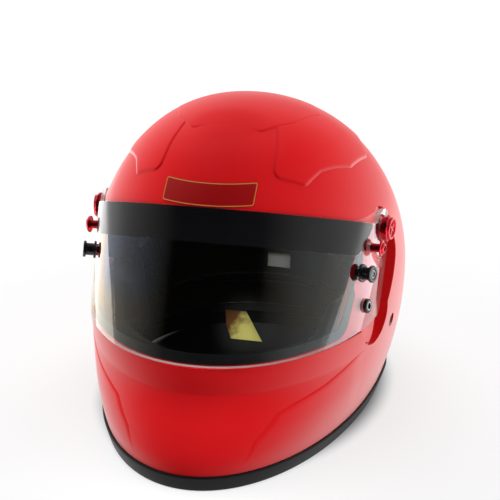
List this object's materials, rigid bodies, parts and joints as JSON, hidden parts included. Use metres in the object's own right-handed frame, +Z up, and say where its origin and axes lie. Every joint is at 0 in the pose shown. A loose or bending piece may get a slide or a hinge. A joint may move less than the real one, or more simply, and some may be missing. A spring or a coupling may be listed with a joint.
{
  "type": "auto racing helmet",
  "caption": "Full-face racing helmet with a hinged clear shield, sun strip, liners, chin straps with two rings and restraint anchors.",
  "frame": {"origin": "on the table under the middle of the helmet's bounding box", "axes": "+Z up, -Y the way the wearer looks, +X the wearer's left"},
  "size_m": [0.2606, 0.3394, 0.2519],
  "materials": {
    "shell_red": "gloss paint over fibre-reinforced plastic",
    "trim_rubber": "satin",
    "seal_rubber": "matte",
    "foam_dark": "moulded beads, matte",
    "cloth_black": "napped cloth over foam",
    "shield_clear": "clear, polished",
    "strip_black": "satin film",
    "hub_black": "satin",
    "anodised_red": "anodised",
    "plain_steel": "plain",
    "post_black": "satin",
    "anchor_steel": "darkened",
    "plate_red": "gloss with a thin pale line",
    "label_white": "woven",
    "tag_olive": "woven",
    "webbing_black": "woven webbing"
  },
  "bodies": {
    "helmet": {"outer_shell": "shell_red", "bottom_edge_trim": "trim_rubber", "eyeport_gasket": "seal_rubber", "crown_eps_liner": "foam_dark", "comfort_liner": "cloth_black", "chin_bar_eps": "foam_dark", "chin_bar_pad": "cloth_black", "cheek_pad_left": "cloth_black", "cheek_pad_right": "cloth_black", "neck_roll": "cloth_black", "pivot_bushings": "plain_steel", "pivot_washers": "anodised_red", "pivot_screws": "anodised_red", "pivot_nut_plates": "plain_steel", "guide_sleeves": "plain_steel", "guide_washers": "anodised_red", "guide_screws": "anodised_red", "guide_nuts": "seal_rubber", "restraint_anchor_left": "anchor_steel", "restraint_anchor_right": "anchor_steel", "brow_plate": "plate_red", "size_label": "label_white", "care_tag": "tag_olive", "chin_strap_short": "webbing_black", "chin_strap_long": "webbing_black", "strap_plates": "plain_steel", "strap_rivets": "plain_steel"},
    "visor": {"shield": "shield_clear", "shield_sun_strip": "strip_black", "shield_hubs": "hub_black", "tear_off_post_left": "post_black", "tear_off_post_right": "post_black", "post_screws": "plain_steel", "shield_lock_post": "post_black"},
    "ring_lower": {"d_ring_lower": "plain_steel"},
    "ring_upper": {"d_ring_upper": "plain_steel"}
  },
  "joints": [
    {"name": "shield_hinge", "type": "hinge", "parent": "helmet", "child": "visor", "pos_m": [0, 0.00223, 0.155], "axis": [-1, 0, 0], "range_deg": [0, 54]},
    {"name": "ring_lower_hinge", "type": "hinge", "parent": "helmet", "child": "ring_lower", "pos_m": [0.061, -0.01277, 0.0082], "axis": [0, 1, 0], "range_deg": [0, 30]},
    {"name": "ring_upper_hinge", "type": "hinge", "parent": "ring_lower", "child": "ring_upper", "pos_m": [0.061, -0.01277, 0.012], "axis": [0, 1, 0], "range_deg": [0, 60]}
  ]
}
